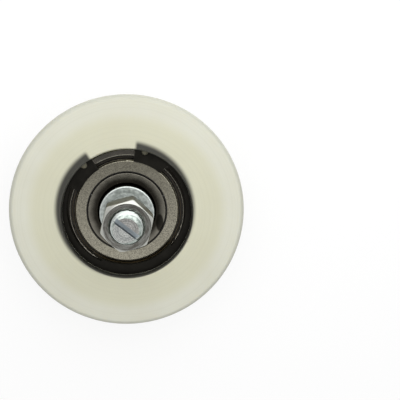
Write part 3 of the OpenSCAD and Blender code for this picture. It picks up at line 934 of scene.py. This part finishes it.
# The slot's milled walls and floor: blue grey, with the cutter's lines along it.
# The walls are painted darker, as shade inside the slot.
milled_slot, tree, shader = new_finish("milled_slot_zinc", Metallic=1.0)
place = add(tree, "ShaderNodeTexCoord").outputs["Object"]
along = add(
    tree, "ShaderNodeMapping", {"Rotation": (0, 0, -SLOT_TURN), "Scale": (0.15, 1, 1)},
    {"Vector": place},
)
lines = add(
    tree, "ShaderNodeTexNoise", {"Scale": per_mm(0.3), "Detail": 2.0}, {"Vector": along.outputs[0]},
)
milled = add(
    tree, "ShaderNodeMix", {FROM: linear("#aab4b9"), TO: linear("#ccd5d9")},
    {SHARE: lines.outputs["Fac"]}, data_type="RGBA",
)
wall_shade = add(
    tree, "ShaderNodeMapRange", {"To Min": 0.85, "To Max": 0.0}, {"Value": facing_front(tree)},
)
shaded = add(
    tree, "ShaderNodeMix", {TO: linear("#4d545a")},
    {SHARE: wall_shade.outputs[0], FROM: milled.outputs[MIXED]}, data_type="RGBA",
)
tree.links.new(shaded.outputs[MIXED], shader.inputs["Base Color"])
milled_sheen = add(
    tree, "ShaderNodeMapRange", {"To Min": 0.4, "To Max": 0.55}, {"Value": lines.outputs["Fac"]},
)
tree.links.new(milled_sheen.outputs[0], shader.inputs["Roughness"])

SHADED_SEAT, FACED = 1, 2
for finish in (bright_zinc, shaded_oily_seat, faced_end):
    axle.data.materials.append(finish)
for face in axle.data.polygons:
    x, y, z = face.center / MM
    if math.hypot(x, y) > SEAT_R - 0.05 and HEAD_FRONT < z < SEAT_TOP - 0.2:
        face.material_index = SHADED_SEAT
    elif z > AXLE_TOP - END_BEVEL and face.normal.z > 0.4:
        face.material_index = FACED

# A cutter as long as the end is wide mills the slot.
cutter_mesh = bpy.data.meshes.new("slot_cutter")
half_box = (SLOT_REACH * MM, SLOT_W / 2 * MM, SLOT_DEPTH * MM)
signs = [(x, y, z) for z in (-1, 1) for y in (-1, 1) for x in (-1, 1)]
corners = [[sign * half for sign, half in zip(corner, half_box)] for corner in signs]
cutter_mesh.from_pydata(
    corners, [], [(0, 2, 3, 1), (4, 5, 7, 6), (0, 1, 5, 4), (2, 6, 7, 3), (0, 4, 6, 2), (1, 3, 7, 5)]
)
cutter_mesh.transform(Matrix.Translation((0, 0, AXLE_TOP * MM)) @ Matrix.Rotation(SLOT_TURN, 4, "Z"))
cutter_mesh.materials.append(milled_slot)
cutter = bpy.data.objects.new("slot_cutter", cutter_mesh)
bpy.context.scene.collection.objects.link(cutter)
cut = axle.modifiers.new("slot", "BOOLEAN")
cut.object, cut.operation, cut.solver, cut.material_mode = cutter, "DIFFERENCE", "EXACT", "TRANSFER"
slotted = bpy.data.meshes.new_from_object(axle.evaluated_get(bpy.context.evaluated_depsgraph_get()))
axle.modifiers.clear()
axle.data = slotted
slotted.set_sharp_from_angle(angle=CRISP)
bpy.data.objects.remove(cutter)

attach(axle, "axle")
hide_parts("axle")


# ---- Nut --------------------------------------------------------------------
# A cold forged hexagon nut, bevelled and countersunk on both faces, tapped to
# match the axle, and zinc plated. It stands at the foot of the thread.

FLATS, FACE_RATIO, NUT_TURN = 13.7, 0.98, math.radians(16)
BORE_R, SINK, NUT_THREAD_DEPTH = THREAD_R + 0.05, 0.7, 0.45
BEVEL_RISE, BEVEL_ROUND, FACE_OFF, FACE_LEAN = 0.5, 0.35, 0.25, math.radians(300)
CORNER_POWER, BLEND_POWER = 50, 60
NUT_AROUND, BORE_ROWS = 192, 96
NUT_H = (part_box("hex_nut")[1].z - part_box("hex_nut")[0].z) / MM


def hexagon(angle):
    """Gives the distance from the axis to the hexagon's side, with its corners eased a little."""
    faces = [NUT_TURN + math.tau * (k + 0.5) / 6 for k in range(6)]
    total = sum(max(0.0, math.cos(angle - face)) ** CORNER_POWER for face in faces)
    return FLATS / 2 / total ** (1 / CORNER_POWER)


def nut_side(angle, depth):
    """Gives the nut's side, where a round bevel that is a little off centre meets the hexagon."""
    spread = (math.sqrt(BEVEL_RISE**2 + 4 * BEVEL_ROUND * depth) - BEVEL_RISE) / (2 * BEVEL_ROUND)
    bevel = askew(angle, FLATS * FACE_RATIO / 2, FACE_OFF, FACE_LEAN) + spread
    return (hexagon(angle) ** -BLEND_POWER + bevel**-BLEND_POWER) ** (-1 / BLEND_POWER)


def nut_bore(angle, height):
    """Gives the tapped hole's radius, with its countersink at both faces."""
    groove = NUT_THREAD_DEPTH * (1 - thread_form(angle, height + THREAD_BASE))
    return max(BORE_R + groove, BORE_R + SINK - height, BORE_R + SINK - (NUT_H - height))


# Up the outside from the back face, with rows close together where the bevels
# start, and down the bore again.
angles = around(NUT_AROUND)
depths = [0.0, 0.02, 0.05] + [0.1 * i for i in range(1, 18)] + [2.0, 2.6]
levels = [(d, d) for d in depths] + [(NUT_H / 2, NUT_H / 2)]
levels += [(NUT_H - d, d) for d in reversed(depths)]
rings = [ring_at(z + THREAD_BASE, [nut_side(a, d) for a in angles], angles) for z, d in levels]
for i in range(BORE_ROWS + 1):
    z = NUT_H - i * NUT_H / BORE_ROWS
    rings.append(ring_at(z + THREAD_BASE, [nut_bore(a, z) for a in angles], angles))
nut = skin("hexagon_nut", rings, caps=False)

# Dull zinc over steel. The turned faces are smooth and dark, with short arcs
# from the tool, in which a radian counts as 1.2 mm. The forged sides are
# duller and stained, and painted darker as their shade.
ARC_RUN = 1.2
dull_zinc, tree, shader = new_finish("dull_zinc_plate", Metallic=1.0)
place, radius, _ = turned_place(tree)
split = add(tree, "ShaderNodeSeparateXYZ", links={0: place})
angle = add(
    tree, "ShaderNodeMath", links={0: split.outputs["Y"], 1: split.outputs["X"]}, operation="ARCTAN2",
)
arc_angle = add(tree, "ShaderNodeMath", {1: ARC_RUN * MM}, {0: angle.outputs[0]}, operation="MULTIPLY")
arc_place = add(
    tree, "ShaderNodeCombineXYZ",
    links={"X": radius, "Y": split.outputs["Z"], "Z": arc_angle.outputs[0]},
)
mottle = add(tree, "ShaderNodeTexNoise", {"Scale": per_mm(2.5), "Detail": 2.0}, {"Vector": place})
facing = add(
    tree, "ShaderNodeTexNoise", {"Scale": per_mm(0.55), "Detail": 4.0, "Roughness": 0.65},
    {"Vector": arc_place.outputs[0]},
)
dull = add(
    tree, "ShaderNodeMix", {FROM: linear("#a9aaa4"), TO: linear("#cacbc5")},
    {SHARE: mottle.outputs["Fac"]}, data_type="RGBA",
)
faced = add(
    tree, "ShaderNodeMapRange", {"From Min": 0.38, "From Max": 0.62, "To Min": 0.2, "To Max": 1.0},
    {"Value": facing.outputs["Fac"]},
)
dull_faced = add(
    tree, "ShaderNodeMix", {TO: linear("#79766f")},
    {SHARE: faced.outputs[0], FROM: dull.outputs[MIXED]}, data_type="RGBA",
)
level = add(tree, "ShaderNodeMath", links={0: facing_front(tree)}, operation="ABSOLUTE")
turned_face = add(
    tree, "ShaderNodeMapRange", {"From Min": 0.95, "From Max": 0.99}, {"Value": level.outputs[0]},
)
nut_colour = add(
    tree, "ShaderNodeMix",
    links={SHARE: turned_face.outputs[0], FROM: dull.outputs[MIXED], TO: dull_faced.outputs[MIXED]},
    data_type="RGBA",
)
stain = add(
    tree, "ShaderNodeTexNoise", {"Scale": per_mm(3.2), "Detail": 5.0, "Roughness": 0.7},
    {"Vector": place},
)
stained = add(
    tree, "ShaderNodeMapRange", {"From Min": 0.47, "From Max": 0.66, "To Max": 0.6},
    {"Value": stain.outputs["Fac"]},
)
sides_colour = add(
    tree, "ShaderNodeMix", {FROM: linear("#9b9e95"), TO: linear("#5f625b")},
    {SHARE: stained.outputs[0]}, data_type="RGBA",
)
shaded_sides = add(
    tree, "ShaderNodeMapRange", {"From Min": 0.3, "From Max": 0.6, "To Min": 1.0, "To Max": 0.0},
    {"Value": level.outputs[0]},
)
whole_nut = add(
    tree, "ShaderNodeMix",
    links={SHARE: shaded_sides.outputs[0], FROM: nut_colour.outputs[MIXED], TO: sides_colour.outputs[MIXED]},
    data_type="RGBA",
)
tree.links.new(whole_nut.outputs[MIXED], shader.inputs["Base Color"])
dull_sheen = add(
    tree, "ShaderNodeMapRange", {"To Min": 0.28, "To Max": 0.22}, {"Value": turned_face.outputs[0]},
)
tree.links.new(dull_sheen.outputs[0], shader.inputs["Roughness"])
bump = add(
    tree, "ShaderNodeBump", {"Strength": 0.3, "Distance": 0.02 * MM}, {"Height": facing.outputs["Fac"]},
)
tree.links.new(bump.outputs[0], shader.inputs["Normal"])
nut.data.materials.append(dull_zinc)
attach(nut, "nut")
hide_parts("hex_nut")


# ---- Floor, light and camera ------------------------------------------------
# A pale table under a soft studio light from the far side, with the camera
# looking down on the wheel's front.

TABLE_REACH = 3.0
PAPER_GLOW = 0.82
SOFTBOX_PLACE, SOFTBOX_AIM, SOFTBOX_POWER, SOFTBOX_SIZE = (0.03, 0.14, 0.135), (0, 0, 0.02), 0.38, 0.30

# The camera's turn and tilt from straight down, in radians, and its place then.
CAMERA_TURN, CAMERA_TILT, CAMERA_PLACE = -0.0205, -0.1951, (4.0 * MM, 4.47 * MM, 164.37 * MM)

floor_mesh = bpy.data.meshes.new("table_top")
table_corners = [(x * TABLE_REACH, y * TABLE_REACH, 0) for x, y in ((-1, -1), (1, -1), (1, 1), (-1, 1))]
floor_mesh.from_pydata(table_corners, [], [(0, 1, 2, 3)])
floor = bpy.data.objects.new("table_top", floor_mesh)
bpy.context.scene.collection.objects.link(floor)

# Matt white paper. What the camera and the metal see of it is mostly an even
# white, and the rest takes the wheel's shadow.
paper, tree, shader = new_finish("white_paper", Base_Color=linear("#f8f8f8"), Roughness=0.9)
output = next(node for node in tree.nodes if node.type == "OUTPUT_MATERIAL")
rays = add(tree, "ShaderNodeLightPath")
seen = rays.outputs["Is Camera Ray"]
for ray in ("Is Glossy Ray", "Is Transmission Ray"):
    seen = add(
        tree, "ShaderNodeMath", links={0: seen, 1: rays.outputs[ray]}, operation="MAXIMUM",
    ).outputs[0]
share = add(tree, "ShaderNodeMath", {1: PAPER_GLOW}, {0: seen}, operation="MULTIPLY")
glow = add(tree, "ShaderNodeEmission", {"Color": (1, 1, 1, 1), "Strength": 1.0})
both = add(
    tree, "ShaderNodeMixShader", links={0: share.outputs[0], 1: shader.outputs[0], 2: glow.outputs[0]},
)
tree.links.new(both.outputs[0], output.inputs["Surface"])
floor_mesh.materials.append(paper)

# The room is an even grey white, and dark overhead where the camera stands.
world = bpy.data.worlds.new("studio")
bpy.context.scene.world = world
world.use_nodes = True
tree = world.node_tree
tree.nodes.clear()
direction = add(tree, "ShaderNodeTexCoord").outputs["Generated"]
up = add(tree, "ShaderNodeSeparateXYZ", links={0: direction})
dome = add(
    tree, "ShaderNodeMapRange", {"From Min": 0.94, "From Max": 0.99, "To Min": 0.78, "To Max": 0.11},
    {"Value": up.outputs["Z"]}, interpolation_type="SMOOTHSTEP",
)
sky = add(tree, "ShaderNodeBackground", {"Color": (1, 1, 1, 1)}, {"Strength": dome.outputs[0]})
add(tree, "ShaderNodeOutputWorld", links={"Surface": sky.outputs[0]})

softbox = bpy.data.lights.new("key_softbox", "AREA")
softbox.energy, softbox.size = SOFTBOX_POWER, SOFTBOX_SIZE
holder = bpy.data.objects.new("key_softbox", softbox)
bpy.context.scene.collection.objects.link(holder)
holder.location = SOFTBOX_PLACE
holder.rotation_euler = (Vector(SOFTBOX_AIM) - holder.location).to_track_quat("-Z", "Y").to_euler()

camera_data = bpy.data.cameras.new("camera")
camera_data.lens, camera_data.sensor_width, camera_data.shift_x = 48.60, 36.0, 0.15
camera_data.clip_start, camera_data.clip_end = 0.01, 10.0
camera = bpy.data.objects.new("camera", camera_data)
bpy.context.scene.collection.objects.link(camera)
camera.matrix_world = (
    Matrix.Translation((0, 0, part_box("wheel_body")[1].z))
    @ Matrix.Rotation(CAMERA_TURN, 4, "Y")
    @ Matrix.Rotation(CAMERA_TILT, 4, "X")
    @ Matrix.Translation(CAMERA_PLACE)
)
bpy.context.scene.camera = camera
bpy.context.scene.view_settings.view_transform = "Standard"
